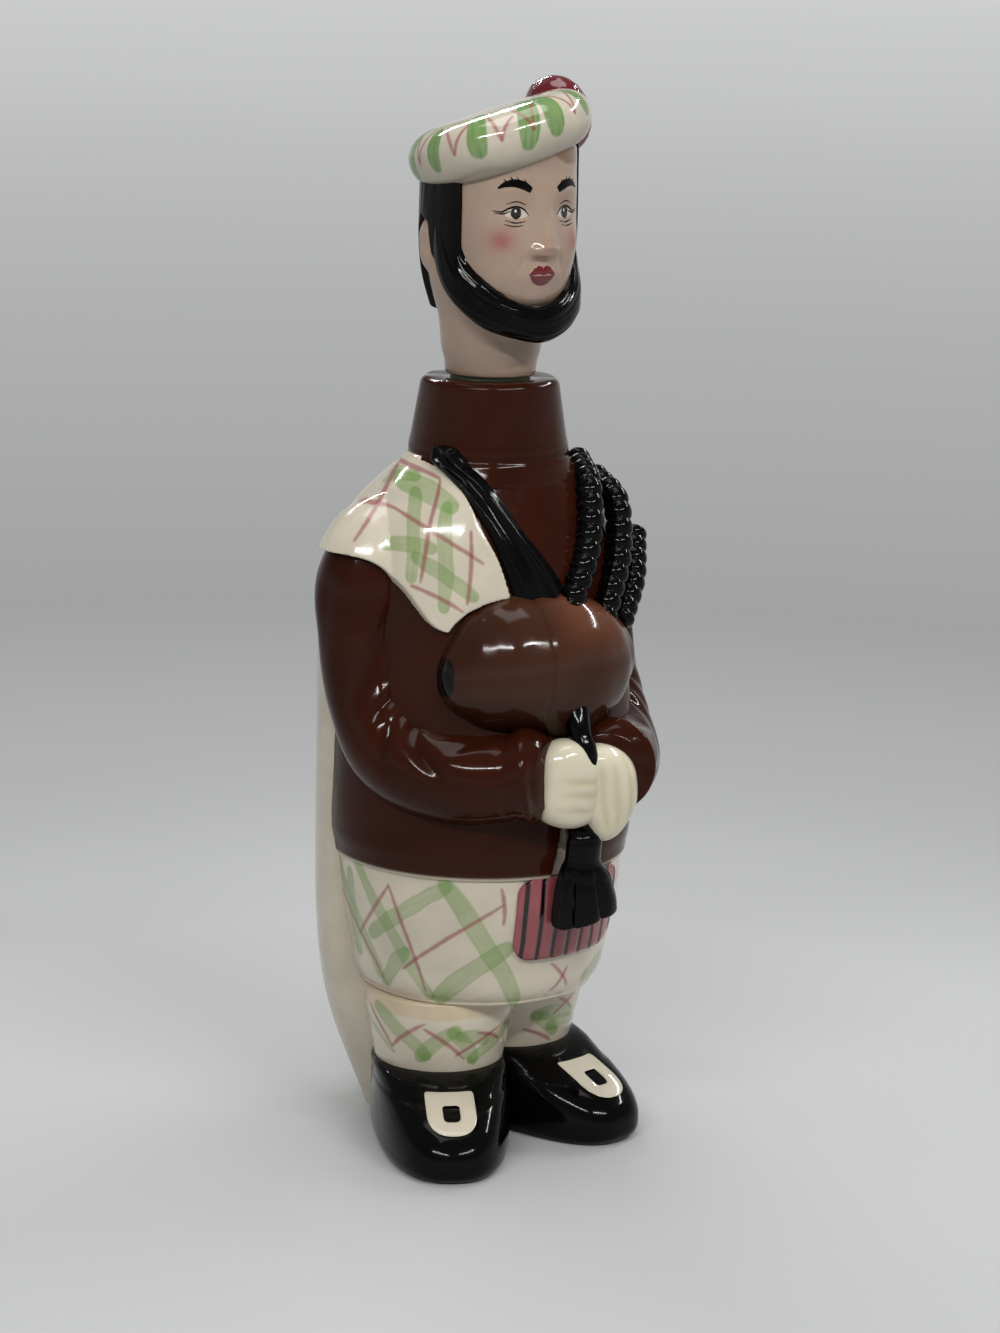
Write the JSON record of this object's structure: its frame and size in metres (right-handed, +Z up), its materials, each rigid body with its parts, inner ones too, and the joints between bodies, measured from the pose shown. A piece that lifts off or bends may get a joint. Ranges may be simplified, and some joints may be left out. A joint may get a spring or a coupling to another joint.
{
  "type": "figural liquor decanter",
  "caption": "Glazed ceramic figural decanter: a standing piper in jacket, kilt and plaid, hollow inside, whose head with its cork sleeve lifts out of the collar as the stopper.",
  "frame": {"origin": "on the table under the middle of the whole figure's footprint", "axes": "+Z up, the figure faces -Y, its right hand is at -X"},
  "size_m": [0.0992, 0.0994, 0.2909],
  "materials": {
    "brown_glaze": "deep brown gloss glaze",
    "plaid_glaze": "cream gloss glaze with brushed green and red strokes",
    "cream_glaze": "cream gloss glaze",
    "amber_glaze": "amber brown gloss glaze",
    "black_glaze": "black gloss glaze",
    "red_glaze": "red gloss glaze",
    "skin_glaze": "pale flesh gloss glaze",
    "cork": "natural cork",
    "seal": "sage green soft ring"
  },
  "bodies": {
    "decanter": {"jacket_shell": "brown_glaze", "kilt_shell": "plaid_glaze", "shoulder_plaid": "plaid_glaze", "back_plaid": "cream_glaze", "right_arm": "brown_glaze", "left_arm": "brown_glaze", "right_hand": "cream_glaze", "left_hand": "cream_glaze", "pipe_bag": "amber_glaze", "cross_belt": "black_glaze", "drone_inner": "black_glaze", "drone_middle": "black_glaze", "drone_outer": "black_glaze", "chanter": "black_glaze", "tassel": "black_glaze", "sporran": "red_glaze", "right_leg": "plaid_glaze", "left_leg": "plaid_glaze", "right_shoe": "black_glaze", "left_shoe": "black_glaze", "right_buckle": "cream_glaze", "left_buckle": "cream_glaze"},
    "stopper_cork": {"cork_sleeve": "cork", "seal_ring": "seal"},
    "stopper_head": {"head": "skin_glaze", "hair_and_beard": "black_glaze", "beret": "plaid_glaze", "pompom": "red_glaze"}
  },
  "joints": [
    {"name": "stopper_lift", "type": "slide", "parent": "decanter", "child": "stopper_cork", "axis": [0, 0, 1], "range_m": [0, 0.06]},
    {"name": "head_turn", "type": "hinge", "parent": "stopper_cork", "child": "stopper_head", "pos_m": [-0.00001, 0.00526, 0.213], "axis": [0, 0, 1], "continuous": true}
  ]
}
